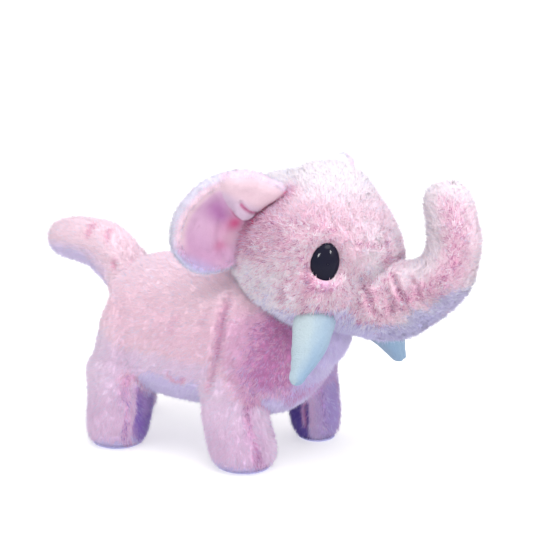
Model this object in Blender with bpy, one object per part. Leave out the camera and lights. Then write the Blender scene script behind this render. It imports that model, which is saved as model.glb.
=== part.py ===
"""A plush elephant standing on four short legs, with its trunk and its tail raised.

Every soft part is a sewn skin of pile fabric over a core of fibre filling. The head sits in a
spherical hollow of the torso; the legs, the trunk and the tail each start with a round end that
sits in a hollow of its neighbour, so that each one can turn about the middle of that round end.
The elephant faces -Y, +Z is up, and its right side is -X. Lengths are in metres.
"""

import bmesh
import bpy
from math import cos, pi, radians, sin, sqrt, tan
from mathutils import Matrix, Vector

MM = 0.001

# Driving dimensions
AROUND = 16  # sides of a round part
HEAD_AROUND = 24  # sides of the head and of what fits round it
TUSK_AROUND = 12
SKIN = 3 * MM  # pile fabric with its seam allowance
GAP = 0.3 * MM  # between pieces that touch
JOINT_GAP = 1.2 * MM  # between a round end and its hollow
BBOX_SHIFT = Vector((-0.0055, 0.0334, 0.0))

# Torso: distance forward, half width, half height, height of the middle
TORSO_REAR = (-70 * MM, 77 * MM)
TORSO_FRONT = (88 * MM, 74 * MM)
TORSO_RINGS = [
    (-66 * MM, 24 * MM, 22 * MM, 77 * MM),
    (-56.5 * MM, 39 * MM, 35 * MM, 77 * MM),
    (-40 * MM, 47.5 * MM, 43 * MM, 76.5 * MM),
    (-15 * MM, 51 * MM, 47 * MM, 77 * MM),
    (15 * MM, 51 * MM, 47.5 * MM, 79 * MM),
    (42 * MM, 50 * MM, 46 * MM, 80 * MM),
    (62 * MM, 46 * MM, 41 * MM, 79 * MM),
    (77 * MM, 36 * MM, 31 * MM, 77 * MM),
    (85 * MM, 21 * MM, 19 * MM, 75 * MM),
]

# Legs: name, side, hip forward of the middle and out from it, radius of the leg
HIP_HEIGHT = 56 * MM
FOOT_SPLAY = 2 * MM  # how much further out the foot is than the hip
LEG_SWING = radians(10)
HIP_CLEAR_HEIGHT = 12 * MM  # the body has nothing to clear below this
HIP_CLEAR_WIDTH = 45 * MM  # from the hip out past the side of the body
LEGS = [
    ("front_right", -1, 43.5 * MM, 31 * MM, 21.5 * MM),
    ("rear_right", -1, -44 * MM, 31 * MM, 22 * MM),
    ("front_left", 1, 63 * MM, 31 * MM, 17 * MM),
    ("rear_left", 1, -65 * MM, 27 * MM, 17 * MM),
]
ROUND_TOP = 2 * MM  # how much wider than the leg its round top is
SOLE_THICKNESS = 2.4 * MM
SOLE_SHARE = 0.62  # of the leg's radius

# Head: a ball turned a little to the right and tilted, with everything on it in its own frame
HEAD_FORWARD = 77 * MM
HEAD_HEIGHT = 138 * MM
HEAD_RADIUS = 53 * MM
HEAD_TURN = radians(-5)
HEAD_TILT = radians(6)
NECK_DIRECTION = Vector((0, 0.6, -0.8))
NECK_OPENING = radians(46)
COLLAR_THICKNESS = 2.8 * MM
NECK_HOLE = 20 * MM  # radius of the opening that the head is filled through

EYE_SIDE = radians(54.5)
EYE_RADIUS = 11 * MM
EYE_DOME = 5.5 * MM
EYE_RIM = 1.2 * MM
STEM_RADIUS = 2.4 * MM
STEM_LENGTH = 10 * MM
WASHER_RADIUS = 8 * MM
WASHER_THICKNESS = 1.8 * MM
WASHER_DEPTH = 1.5 * MM  # below the inside of the skin

TUSK_ROOT = (21.5 * MM, 31.5 * MM, -33.5 * MM)
TUSK_REACH = {"right": (5 * MM, 30 * MM, -36 * MM), "left": (11 * MM, 25 * MM, -41 * MM)}
TUSK_RADII = (9.5 * MM, 9.3 * MM, 7.6 * MM, 4.6 * MM, 3.4 * MM)
TUSK_HEIGHTS = (-0.12, 0.2, 0.55, 0.86, 0.95)  # shares of the tusk's length
TUSK_WALL = 1.2 * MM

# Ears: the ends of the sewn edge and a point that the ear reaches towards, all on the right
EAR_TOP = (-3 * MM, 36.5 * MM, 38.5 * MM)
EAR_BOTTOM = (-35 * MM, 38 * MM, -12 * MM)
EAR_REACH = (-0.53, 0.76, 0.38)
EAR_CENTRE = (9.5 * MM, 20 * MM)  # along the sewn edge and away from it
EAR_RADII = (34 * MM, 31 * MM)
EAR_EDGE = 4.6 * MM  # half thickness at the sewn edge
EAR_LAYER = 4.2 * MM
EAR_SEAM = 2 * MM  # how far the ear runs past its sewn edge
EAR_RIM = 1.6 * MM  # how far its rim rounds in
LINING_INSET = 2.5 * MM
EAR_SWING = radians(12)
GROOVE_FLOOR = 5.4 * MM  # behind the sewn edge
GROOVE_REACH = 30 * MM  # from the sewn edge out past the head

# Trunk: distance forward, height and radius, in the head's frame
TRUNK_PIVOT = (39 * MM, -28 * MM, 23.5 * MM)
TRUNK_ROOM = (51 * MM, -28 * MM, 25.5 * MM)  # cleared from the head for the trunk to lift
TRUNK_BASE = [
    (55.5 * MM, -27.5 * MM, 22 * MM),
    (71 * MM, -21.5 * MM, 19.8 * MM),
    (83 * MM, -11.5 * MM, 18.2 * MM),
    (87.2 * MM, -5.3 * MM, 17.6 * MM),
]
TRUNK_MOUTH = 0.5 * MM  # how far the root of the trunk runs past its last station
CURL_PIVOT = (89.8 * MM, 1.5 * MM, 16.6 * MM)
TRUNK_TIP = [
    (91.5 * MM, 13.5 * MM, 15.8 * MM),
    (90 * MM, 26.5 * MM, 15.3 * MM),
    (86 * MM, 38 * MM, 14.6 * MM),
]

MOUTH_RADIUS = 7 * MM  # of the filling opening in a closed end of the trunk or the tail

# Tail: distance forward, height and radius
TAIL_PIVOT = (-57 * MM, 104 * MM, 16 * MM)
TAIL = [
    (-66 * MM, 116 * MM, 16.8 * MM),
    (-77 * MM, 124 * MM, 17.2 * MM),
    (-91 * MM, 126.5 * MM, 15.8 * MM),
    (-104 * MM, 127 * MM, 13.2 * MM),
]

COLOURS = {
    "pile": ((0.90, 0.60, 0.72, 1), 0.95),
    "lining": ((0.80, 0.45, 0.62, 1), 0.8),
    "felt": ((0.80, 0.93, 0.95, 1), 0.9),
    "fibre": ((0.93, 0.93, 0.92, 1), 1.0),
    "eye": ((0.01, 0.01, 0.02, 1), 0.08),
    "washer": ((0.85, 0.85, 0.83, 1), 0.5),
}


def at(forward, right, up):
    """The point this far forward, to the right and up."""
    return Vector((-right, -forward, up))


def clear_scene():
    for obj in list(bpy.data.objects):
        bpy.data.objects.remove(obj, do_unlink=True)


def material(name):
    found = bpy.data.materials.get(name)
    if found:
        return found
    colour, roughness = COLOURS[name]
    made = bpy.data.materials.new(name)
    made.use_nodes = True
    shader = made.node_tree.nodes["Principled BSDF"]
    shader.inputs["Base Color"].default_value = colour
    shader.inputs["Roughness"].default_value = roughness
    shader.inputs["Metallic"].default_value = 0.0
    return made


def empty(name, location, parent=None, rotation=(0, 0, 0)):
    """A frame to hang pieces from, at a place in its parent's frame."""
    made = bpy.data.objects.new(name, None)
    bpy.context.collection.objects.link(made)
    made.parent = parent
    made.location = location
    made.rotation_euler = rotation
    return made


def mesh_object(name, mesh_data, parent, cutter=False):
    """Links a new object that shows this bmesh, given in its parent's frame."""
    bmesh.ops.recalc_face_normals(mesh_data, faces=mesh_data.faces[:])
    mesh = bpy.data.meshes.new(name)
    mesh_data.to_mesh(mesh)
    mesh_data.free()
    mesh.shade_smooth()
    mesh.set_sharp_from_angle(angle=radians(50))
    made = bpy.data.objects.new(name, mesh)
    bpy.context.collection.objects.link(made)
    made.parent = parent
    if cutter:
        made.hide_render = True
        made.display_type = "WIRE"
    return made


def loft(rings, first, last):
    """A closed bmesh through rings of points, ending in a point at each end."""
    made = bmesh.new()
    rows = [[made.verts.new(point) for point in ring] for ring in rings]
    count = len(rows[0])
    for one, two in zip(rows, rows[1:]):
        for i in range(count):
            j = (i + 1) % count
            made.faces.new((one[i], one[j], two[j], two[i]))
    for row, pole in ((rows[0], made.verts.new(first)), (rows[-1], made.verts.new(last))):
        for i in range(count):
            made.faces.new((row[i], row[(i + 1) % count], pole))
    return made


def ring(centre, across, upright, sides=AROUND):
    """Points round an ellipse with these two half axes."""
    turns = [2 * pi * i / sides for i in range(sides)]
    return [centre + across * cos(t) + upright * sin(t) for t in turns]


def turned(profile, base=Vector((0, 0, 0)), axis=Vector((0, 0, 1)), sides=AROUND):
    """A solid turned about an axis from (radius, distance along the axis) pairs."""
    across = axis.orthogonal().normalized()
    upright = axis.cross(across)
    rings = [ring(base + axis * z, across * r, upright * r, sides) for r, z in profile[1:-1]]
    return loft(rings, base + axis * profile[0][1], base + axis * profile[-1][1])


def ball(name, centre, radius, parent, sides=AROUND):
    """A round cutter."""
    steps = sides // 2
    turns = [pi * i / steps for i in range(steps + 1)]
    profile = [(radius * sin(t), -radius * cos(t)) for t in turns]
    return mesh_object(name, turned(profile, centre, sides=sides), parent, cutter=True)


def tube(stations, inset=0.0, open_end=0.0):
    """A bent tube in the YZ plane that starts as a ball about its first station and ends in a
    dome. Each station is a centre and a radius. An open end runs on straight instead."""
    (pivot, ball_radius), *rest = stations
    centres = [pivot] + [centre for centre, _ in rest]
    lateral = Vector((1, 0, 0))
    ahead = (centres[1] - centres[0]).normalized()
    ball_radius -= inset
    rings = []
    for turn in (30, 55, 78):
        back = pivot - ahead * ball_radius * cos(radians(turn))
        reach = ball_radius * sin(radians(turn))
        rings.append(ring(back, lateral * reach, lateral.cross(ahead) * reach))
    for i, (centre, radius) in enumerate(rest, start=1):
        after = centres[min(i + 1, len(centres) - 1)]
        along = (after - centres[i - 1]).normalized()
        radius -= inset
        rings.append(ring(centre, lateral * radius, lateral.cross(along) * radius))
    along = (centres[-1] - centres[-2]).normalized()
    upright = lateral.cross(along)
    radius = rest[-1][1] - inset
    if open_end:
        end = centres[-1] + along * open_end
        rings.append(ring(end, lateral * radius, upright * radius))
        return loft(rings, pivot - ahead * ball_radius, end)
    for turn in (35, 65):
        reach = radius * cos(radians(turn))
        end = centres[-1] + along * radius * sin(radians(turn))
        rings.append(ring(end, lateral * reach, upright * reach))
    return loft(rings, pivot - ahead * ball_radius, centres[-1] + along * radius)


def cut(piece, *cutters):
    for cutter in cutters:
        boolean = piece.modifiers.new("cut_" + cutter.name, "BOOLEAN")
        boolean.operation = "DIFFERENCE"
        boolean.solver = "EXACT"
        boolean.object = cutter


def finish(piece, slot):
    piece.data.materials.append(material(slot))
    return piece


def torso_loft(inset=0.0):
    rings = []
    for forward, half_width, half_height, middle in TORSO_RINGS:
        across = at(0, half_width - inset, 0)
        rings.append(ring(at(forward, 0, middle), across, at(0, 0, half_height - inset)))
    rear = at(TORSO_REAR[0] + inset, 0, TORSO_REAR[1])
    front = at(TORSO_FRONT[0] - inset, 0, TORSO_FRONT[1])
    return loft(rings, rear, front)


def hip_cutter(name, side, forward, out, radius, extra, parent):
    """The hollow for a leg's round top, opened downwards as far as the leg swings."""
    hip = at(forward, -side * out, HIP_HEIGHT)
    round_top = ball(name + "_ball", hip, radius + ROUND_TOP + extra, parent)
    half = (radius + extra) / cos(LEG_SWING)
    depth = HIP_HEIGHT - HIP_CLEAR_HEIGHT
    foot = half + depth * tan(LEG_SWING)
    corners = []
    for lateral in (out - radius - extra, out + HIP_CLEAR_WIDTH):
        for reach, up in ((-half, 0.0), (half, 0.0), (foot, -depth), (-foot, -depth)):
            corners.append(at(forward + reach, -side * lateral, HIP_HEIGHT + up))
    wedge = bmesh.new()
    verts = [wedge.verts.new(corner) for corner in corners]
    for face in ((0, 1, 2, 3), (7, 6, 5, 4), (0, 4, 5, 1), (1, 5, 6, 2), (2, 6, 7, 3), (3, 7, 4, 0)):
        wedge.faces.new([verts[i] for i in face])
    swing_room = mesh_object(name + "_swing", wedge, parent, cutter=True)
    return round_top, swing_room


def make_torso(root, head_frame_position, tail_frame):
    """The body skin with its openings, and the filling inside it."""
    skin = finish(mesh_object("torso_skin", torso_loft(), root), "pile")
    cavity = mesh_object("torso_cavity", torso_loft(SKIN), root, cutter=True)
    filling = finish(mesh_object("torso_stuffing", torso_loft(SKIN + GAP), root), "fibre")
    cut(skin, cavity)
    hollow = HEAD_RADIUS + COLLAR_THICKNESS + 2 * JOINT_GAP
    cut(skin, ball("head_hollow", head_frame_position, hollow, root, HEAD_AROUND))
    cut(filling, ball("head_hollow_deep", head_frame_position, hollow + GAP, root, HEAD_AROUND))
    for name, *place in LEGS:
        cut(skin, *hip_cutter("hip_" + name, *place, JOINT_GAP, root))
        cut(filling, *hip_cutter("hip_deep_" + name, *place, JOINT_GAP + GAP, root))
    tail_radius = TAIL_PIVOT[2] + JOINT_GAP
    cut(skin, ball("tail_hollow", Vector(), tail_radius, tail_frame))
    cut(filling, ball("tail_hollow_deep", Vector(), tail_radius + GAP, tail_frame))


def leg_profile(radius, inset=0.0):
    """(radius, height) pairs from the foot to the top of the round hip end."""
    top = radius + ROUND_TOP
    joined = sqrt(top**2 - radius**2)
    foot = [
        (0, inset),
        (radius * 0.74 - inset, inset),
        (radius * 0.93 - inset, 3 * MM + inset * 0.6),
        (radius * 0.98 - inset, 9 * MM),
        (radius - inset, 22 * MM),
        (radius - inset, HIP_HEIGHT - joined),
    ]
    top -= inset
    round_top = [(top * cos(radians(t)), HIP_HEIGHT + top * sin(radians(t))) for t in (0, 28, 54, 75)]
    return foot + round_top + [(0, HIP_HEIGHT + top)]


def leg_mesh(radius, side, inset=0.0):
    """A leg that leans outwards to its foot, about the hip as its origin."""
    made = turned(leg_profile(radius, inset), base=at(0, 0, -HIP_HEIGHT))
    for vert in made.verts:
        below = max(0.0, -vert.co.z) / HIP_HEIGHT
        vert.co.x += side * FOOT_SPLAY * below
    return made


def make_leg(name, side, forward, out, radius, root):
    """Skin, filling and sole of one leg, hung from its hip."""
    hip = empty("hip_" + name, at(forward, -side * out, HIP_HEIGHT), root)
    skin = finish(mesh_object(f"leg_{name}_skin", leg_mesh(radius, side), hip), "pile")
    cavity = mesh_object(f"leg_{name}_cavity", leg_mesh(radius, side, SKIN), hip, cutter=True)
    foot = Vector((side * FOOT_SPLAY, 0, -HIP_HEIGHT))
    sole_radius = radius * SOLE_SHARE
    hole = [(0, -MM), (sole_radius, -MM), (sole_radius, SKIN + MM), (0, SKIN + MM)]
    opening = mesh_object(f"leg_{name}_opening", turned(hole, foot), hip, cutter=True)
    cut(skin, cavity, opening)
    filling = leg_mesh(radius, side, SKIN + GAP)
    finish(mesh_object(f"leg_{name}_stuffing", filling, hip), "fibre")
    disc_radius = sole_radius - GAP
    disc = [(0, 0), (disc_radius, 0), (disc_radius, SOLE_THICKNESS), (0, SOLE_THICKNESS)]
    finish(mesh_object(f"leg_{name}_sole", turned(disc, foot), hip), "pile")


def make_collar(neck):
    """The fabric of the neck: a dish between the head and the torso's hollow."""
    inner = HEAD_RADIUS + JOINT_GAP
    outer = inner + COLLAR_THICKNESS
    steps = [NECK_OPENING * i / 4 for i in range(1, 5)]
    profile = [(0, inner)]
    profile += [(inner * sin(t), inner * cos(t)) for t in steps]
    profile += [(outer * sin(t), outer * cos(t)) for t in reversed(steps)]
    profile += [(0, outer)]
    dish = turned(profile, axis=NECK_DIRECTION.normalized(), sides=HEAD_AROUND)
    finish(mesh_object("neck_collar", dish, neck), "pile")


def sphere_mesh(radius, sides=HEAD_AROUND):
    steps = sides // 2
    turns = [pi * i / steps for i in range(steps + 1)]
    return turned([(radius * sin(t), -radius * cos(t)) for t in turns], sides=sides)


def make_head(head):
    """Head skin and filling, with their cutters for the eyes, the ears, the trunk and the neck."""
    skin = finish(mesh_object("head_skin", sphere_mesh(HEAD_RADIUS), head), "pile")
    cavity = mesh_object("head_cavity", sphere_mesh(HEAD_RADIUS - SKIN), head, cutter=True)
    filling_mesh = sphere_mesh(HEAD_RADIUS - SKIN - GAP)
    filling = finish(mesh_object("head_stuffing", filling_mesh, head), "fibre")
    cut(skin, cavity)
    forward, up, radius = TRUNK_PIVOT
    pivot = at(forward, 0, up)
    cut(skin, ball("trunk_hollow", pivot, radius + JOINT_GAP, head))
    cut(filling, ball("trunk_hollow_deep", pivot, radius + JOINT_GAP + GAP, head))
    forward, up, radius = TRUNK_ROOM
    room = ball("trunk_room", at(forward, 0, up), radius, head)
    cut(skin, room)
    cut(filling, room)
    low, high = HEAD_RADIUS * 0.6, HEAD_RADIUS * 1.2
    neck_hole = [(0, low), (NECK_HOLE, low), (NECK_HOLE, high), (0, high)]
    neck_mesh = turned(neck_hole, axis=NECK_DIRECTION.normalized())
    cut(skin, mesh_object("neck_hole", neck_mesh, head, cutter=True))
    return skin, filling


def make_eye(name, side, head, head_skin, head_filling):
    """A domed button on a stem through the skin, held by a washer inside."""
    outward = at(cos(EYE_SIDE), -side * sin(EYE_SIDE), 0)
    seat = HEAD_RADIUS + GAP
    stem_end = HEAD_RADIUS - STEM_LENGTH
    dome = [(0, stem_end), (STEM_RADIUS, stem_end), (STEM_RADIUS, seat), (EYE_RADIUS * 0.94, seat)]
    for turn in (0, 25, 50, 72):
        reach = EYE_RADIUS * cos(radians(turn))
        dome.append((reach, seat + EYE_RIM + EYE_DOME * sin(radians(turn))))
    dome.append((0, seat + EYE_RIM + EYE_DOME))
    button = turned(dome, axis=outward)
    finish(mesh_object("eye_" + name, button, head), "eye")
    top = sqrt((HEAD_RADIUS - SKIN) ** 2 - WASHER_RADIUS**2) - WASHER_DEPTH
    low = top - WASHER_THICKNESS
    hole_radius = STEM_RADIUS + GAP
    start, end = low - STEM_LENGTH, top + STEM_LENGTH
    plate = turned([(0, low), (WASHER_RADIUS, low), (WASHER_RADIUS, top), (0, top)], axis=outward)
    washer = finish(mesh_object("eye_washer_" + name, plate, head), "washer")
    bore = [(0, start), (hole_radius, start), (hole_radius, end), (0, end)]
    drill = mesh_object("eye_bore_" + name, turned(bore, axis=outward), head, cutter=True)
    cut(washer, drill)
    cut(head_skin, drill)
    room = WASHER_RADIUS + GAP
    pocket = [(0, stem_end - GAP), (room, stem_end - GAP), (room, seat), (0, seat)]
    pocket_mesh = turned(pocket, axis=outward)
    cut(head_filling, mesh_object("eye_pocket_" + name, pocket_mesh, head, cutter=True))


def make_tusk(name, side, head):
    """A felt cone sewn on beside the trunk, with its filling."""
    forward, right, up = TUSK_ROOT
    root = at(forward, -side * right, up)
    forward, right, up = TUSK_REACH[name]
    reach = at(forward, -side * right, up)
    length = reach.length
    axis = reach.normalized()

    def cone(inset, foot, last, tip):
        """The tusk's shape this far inside its felt, between these shares of its length."""
        heights = (foot, *TUSK_HEIGHTS[1:-1], last)
        sides = [(r - inset, h * length) for r, h in zip(TUSK_RADII, heights)]
        profile = [(0, foot * length), *sides, (0, tip * length)]
        return turned(profile, root, axis, TUSK_AROUND)

    foot = TUSK_HEIGHTS[0]
    skin = finish(mesh_object("tusk_" + name, cone(0.0, foot, TUSK_HEIGHTS[-1], 1.0), head), "felt")
    cut(skin, ball("tusk_seat_" + name, Vector(), HEAD_RADIUS + GAP, head, HEAD_AROUND))
    cavity = cone(TUSK_WALL, foot - 0.18, 0.93, 0.96)
    cut(skin, mesh_object("tusk_cavity_" + name, cavity, head, cutter=True))
    core = cone(TUSK_WALL + GAP, foot, 0.92, 0.95)
    filling = finish(mesh_object(f"tusk_{name}_stuffing", core, head), "fibre")
    cut(filling, ball("tusk_seat_deep_" + name, Vector(), HEAD_RADIUS + GAP, head, HEAD_AROUND))


def ear_frame(side):
    """The ear's hinge middle, the direction down its sewn edge, outwards, and its front."""
    top, bottom = at(*EAR_TOP), at(*EAR_BOTTOM)
    down = (bottom - top).normalized()
    out = at(*EAR_REACH)
    out = (out - down * out.dot(down)).normalized()
    front = out.cross(down)
    middle = (top + bottom) / 2
    if side > 0:
        mirror = Matrix.Diagonal((-1, 1, 1))
        middle, down, out, front = (mirror @ v for v in (middle, down, out, front))
    return middle, down, out, front


def ear_outline(shrink=0.0, sides=24):
    """(along, away) points round the ear, flat along its sewn edge."""
    points = []
    for i in range(sides):
        t = 2 * pi * i / sides
        along = EAR_CENTRE[0] + (EAR_RADII[0] - shrink) * cos(t)
        away = EAR_CENTRE[1] + (EAR_RADII[1] - shrink) * sin(t)
        points.append((along, max(away, shrink - EAR_SEAM)))
    return points


def ear_layer(side, low, high, shrink=0.0):
    """One layer of the ear, rounded at its rim, about the hinge as its origin."""
    _, down, out, front = ear_frame(side)
    thickness = high - low
    rings = []
    for share, trim in ((0.0, EAR_RIM), (0.25, 0.2 * MM), (0.75, 0.2 * MM), (1.0, EAR_RIM)):
        outline = ear_outline(shrink + trim)
        lift = front * (low + thickness * share)
        rings.append([down * along + out * away + lift for along, away in outline])
    centre = down * EAR_CENTRE[0] + out * EAR_CENTRE[1]
    return loft(rings, centre + front * low, centre + front * high)


def make_ear(name, side, head, head_skin, head_filling):
    """A pile back and a smooth lining, hinged in a groove of the head."""
    middle, down, out, front = ear_frame(side)
    hinge = empty("ear_hinge_" + name, middle, head)
    back = ear_layer(side, -EAR_LAYER, GAP)
    finish(mesh_object("ear_" + name, back, hinge), "pile")
    lining = ear_layer(side, 2 * GAP, EAR_LAYER, LINING_INSET)
    finish(mesh_object(f"ear_{name}_lining", lining, hinge), "lining")
    for deep, piece in ((0.0, head_skin), (GAP, head_filling)):
        near = EAR_EDGE + JOINT_GAP + deep
        far = near + GROOVE_REACH * tan(EAR_SWING)
        low = EAR_CENTRE[0] - EAR_RADII[0] - SKIN - deep
        high = EAR_CENTRE[0] + EAR_RADII[0] + SKIN + deep
        groove = bmesh.new()
        verts = []
        for along in (low, high):
            for away, half in ((-GROOVE_FLOOR - deep, near), (GROOVE_REACH, far)):
                for lift in (-half, half):
                    point = down * along + out * away + front * lift
                    verts.append(groove.verts.new(point))
        for face in ((0, 1, 3, 2), (4, 6, 7, 5), (0, 4, 5, 1), (2, 3, 7, 6), (0, 2, 6, 4), (1, 5, 7, 3)):
            groove.faces.new([verts[i] for i in face])
        label = "ear_groove_deep_" if deep else "ear_groove_"
        cut(piece, mesh_object(label + name, groove, hinge, cutter=True))


def stations_from(pivot, rest, origin):
    """Tube stations about a pivot, from rows of distance forward, height and radius."""
    return [(at(f, 0, z) - origin, r) for f, z, r in (pivot, *rest)]


def make_segment(name, pivot, rest, frame, open_end=0.0, hollow=None):
    """Skin and filling of a bent tube. A hollow receives the next segment's round end."""
    origin = at(pivot[0], 0, pivot[1])
    stations = stations_from(pivot, rest, origin)
    skin = finish(mesh_object(name + "_skin", tube(stations, 0.0, open_end), frame), "pile")
    run_on = open_end + 2 * MM if open_end else 0.0
    cavity = mesh_object(name + "_cavity", tube(stations, SKIN, run_on), frame, cutter=True)
    filling_mesh = tube(stations, SKIN + GAP, open_end)
    filling = finish(mesh_object(name + "_stuffing", filling_mesh, frame), "fibre")
    if hollow:
        forward, up, radius = hollow
        centre = at(forward, 0, up) - origin
        cut(skin, ball(name + "_hollow", centre, radius + JOINT_GAP, frame), cavity)
        cut(filling, ball(name + "_hollow_deep", centre, radius + JOINT_GAP + GAP, frame))
    else:
        ahead = (stations[1][0] - stations[0][0]).normalized()
        end = pivot[2] + MM
        mouth = [(0, 0), (MOUTH_RADIUS, 0), (MOUTH_RADIUS, end), (0, end)]
        mouth_mesh = turned(mouth, axis=-ahead)
        cut(skin, cavity, mesh_object(name + "_mouth", mouth_mesh, frame, cutter=True))


def make_elephant():
    clear_scene()
    root = empty("elephant", Vector(BBOX_SHIFT))
    head_place = at(HEAD_FORWARD, 0, HEAD_HEIGHT)
    tail_frame = empty("tail_base", at(TAIL_PIVOT[0], 0, TAIL_PIVOT[1]), root)
    make_torso(root, head_place, tail_frame)
    make_segment("tail", TAIL_PIVOT, TAIL, tail_frame)
    for leg in LEGS:
        make_leg(*leg, root)
    neck = empty("neck_pivot", head_place, root)
    make_collar(neck)
    head = empty("head_pivot", Vector(), neck, (0, HEAD_TILT, HEAD_TURN))
    head_skin, head_filling = make_head(head)
    for name, side in (("right", -1), ("left", 1)):
        make_eye(name, side, head, head_skin, head_filling)
        make_ear(name, side, head, head_skin, head_filling)
        make_tusk(name, side, head)
    trunk_frame = empty("trunk_lift", at(TRUNK_PIVOT[0], 0, TRUNK_PIVOT[1]), head)
    make_segment("trunk_base", TRUNK_PIVOT, TRUNK_BASE, trunk_frame, TRUNK_MOUTH, CURL_PIVOT)
    curl = at(CURL_PIVOT[0], 0, CURL_PIVOT[1]) - at(TRUNK_PIVOT[0], 0, TRUNK_PIVOT[1])
    tip_frame = empty("trunk_curl", curl, trunk_frame)
    make_segment("trunk_tip", CURL_PIVOT, TRUNK_TIP, tip_frame)
    bpy.context.view_layer.update()


make_elephant()
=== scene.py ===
"""The looks of a standing plush elephant: sewn pile skins, loose pile, felt tusks, button eyes.

Lengths are millimetres until a mesh is made. A place is (forward, right, up) from the floor under
the middle of the body. The head has the same directions in a frame that turns and tilts with it.
"""

from math import cos, pi, radians, sin, sqrt

import bpy
import numpy as np
from mathutils import Euler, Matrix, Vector


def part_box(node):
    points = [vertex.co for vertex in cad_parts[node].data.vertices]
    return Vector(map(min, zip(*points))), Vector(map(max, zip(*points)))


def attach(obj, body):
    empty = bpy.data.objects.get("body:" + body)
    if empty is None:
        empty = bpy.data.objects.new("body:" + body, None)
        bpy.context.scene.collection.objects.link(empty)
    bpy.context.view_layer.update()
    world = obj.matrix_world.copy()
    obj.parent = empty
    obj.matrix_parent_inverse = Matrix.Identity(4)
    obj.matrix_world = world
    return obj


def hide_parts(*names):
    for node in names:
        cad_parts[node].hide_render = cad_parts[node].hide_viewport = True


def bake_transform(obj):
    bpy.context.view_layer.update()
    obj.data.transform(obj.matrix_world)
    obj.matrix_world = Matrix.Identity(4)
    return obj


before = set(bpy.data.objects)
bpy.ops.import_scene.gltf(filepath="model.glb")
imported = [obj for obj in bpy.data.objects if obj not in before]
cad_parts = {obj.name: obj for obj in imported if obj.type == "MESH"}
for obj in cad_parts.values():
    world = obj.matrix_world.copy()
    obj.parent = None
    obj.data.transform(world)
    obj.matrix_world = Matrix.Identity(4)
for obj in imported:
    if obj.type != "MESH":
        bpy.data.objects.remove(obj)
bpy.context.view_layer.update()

MM = 0.001
norm = np.linalg.norm
ORIGIN = np.array((-5.5, 33.4, 0.0))
RNG = np.random.default_rng(23)
HEAD_CENTRE = (77, 0, 138)
HEAD_TURN = np.array(Euler((0, radians(6), radians(-5))).to_matrix())

# ---- places and curves


def swapped(p):
    """(forward, right, up) directions as world ones, and back."""
    return np.stack([-p[:, 1], -p[:, 0], p[:, 2]], 1)


def to_world(places):
    return swapped(np.atleast_2d(np.asarray(places, float))) + ORIGIN


def from_world(points):
    return swapped(points - ORIGIN)


def from_head(places):
    return to_world([HEAD_CENTRE]) + swapped(np.atleast_2d(np.asarray(places, float))) @ HEAD_TURN.T


def to_head(points):
    return swapped((points - to_world([HEAD_CENTRE])) @ HEAD_TURN)


def spline(points, count, closed_ends=()):
    """A smooth curve through rows of numbers. The columns of closed ends cross zero."""
    p = np.asarray(points, float)
    first, last = 2 * p[0] - p[1], 2 * p[-1] - p[-2]
    if closed_ends:
        first, last = p[1].copy(), p[-2].copy()
        for column in closed_ends:
            first[column] *= -1
            last[column] *= -1
    p = np.vstack([first, p, last])
    t = np.linspace(0, len(p) - 3 - 1e-9, count)
    i = t.astype(int)
    u = (t - i)[:, None]
    a, b, c, d = p[i], p[i + 1], p[i + 2], p[i + 3]
    return 0.5 * (
        2 * b + (c - a) * u + (2 * a - 5 * b + 4 * c - d) * u**2 + (3 * b - a - 3 * c + d) * u**3
    )


def unit(v):
    return v / (norm(v, axis=-1, keepdims=True) + 1e-12)


def smooth(x):
    x = np.clip(x, 0, 1)
    return x * x * (3 - 2 * x)


def above(x, start, width):
    """0 at the start, rising to 1 over the width."""
    return smooth((x - start) / width)


def below(x, start, width):
    return smooth((start - x) / width)


def bell(x, width):
    return np.exp(-((x / width) ** 2))


def blob(place, centre, widths):
    """1 at a centre, fading over these widths."""
    return np.exp(-(((place - centre) / widths) ** 2).sum(1))


def waves(p, scale, seed):
    """Smooth noise from -1 to 1, with bumps about this many millimetres across."""
    rng, count = np.random.default_rng(seed), 6
    total = np.zeros(len(p))
    for _ in range(count):
        k = unit(rng.normal(size=3)) * 2 * pi / (scale * rng.uniform(0.7, 1.6))
        total += np.sin(p @ k + rng.uniform(0, 2 * pi))
    return total / sqrt(count / 2) / 1.6


# ---- closed shells

THIN = 0.05  # the half axis at a shell's ends


def round_turn(around):
    return np.arange(around) * 2 * pi / around


def grid_quads(rows, around):
    """Quads between rows of points that are closed rings."""
    i = np.arange(rows - 1)[:, None] * around
    j = np.arange(around)[None, :]
    k = (j + 1) % around
    corners = np.broadcast_arrays(i + j, i + k, i + around + k, i + around + j)
    return np.stack(corners, -1).reshape(-1, 4)


def turned_quads(rows, around):
    """The same quads, facing the other way."""
    return grid_quads(rows, around)[:, [0, 3, 2, 1]]


def shell(centres, across, upright, around=64, power=1.0):
    """Points and quads of a closed loft, from its middles and the vectors of its half axes."""
    t = round_turn(around)
    c, s = np.cos(t), np.sin(t)
    c = np.sign(c) * np.abs(c) ** power
    s = np.sign(s) * np.abs(s) ** power
    p = centres[:, None] + across[:, None] * c[None, :, None] + upright[:, None] * s[None, :, None]
    return p.reshape(-1, 3), grid_quads(len(centres), around)


# (forward, half width, half height, height of the middle)
TORSO = [
    (-69, 0, 0, 77), (-65.5, 20, 20, 77), (-56, 37, 34, 77), (-40, 45.5, 41, 76.5),
    (-15, 49, 45.4, 76.8), (15, 49, 47.4, 77.4), (42, 48, 46, 78), (62, 44.5, 44.3, 76.2),
    (77, 34.5, 31, 77), (84, 20, 19, 75), (87, 0, 0, 74),
]


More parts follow.
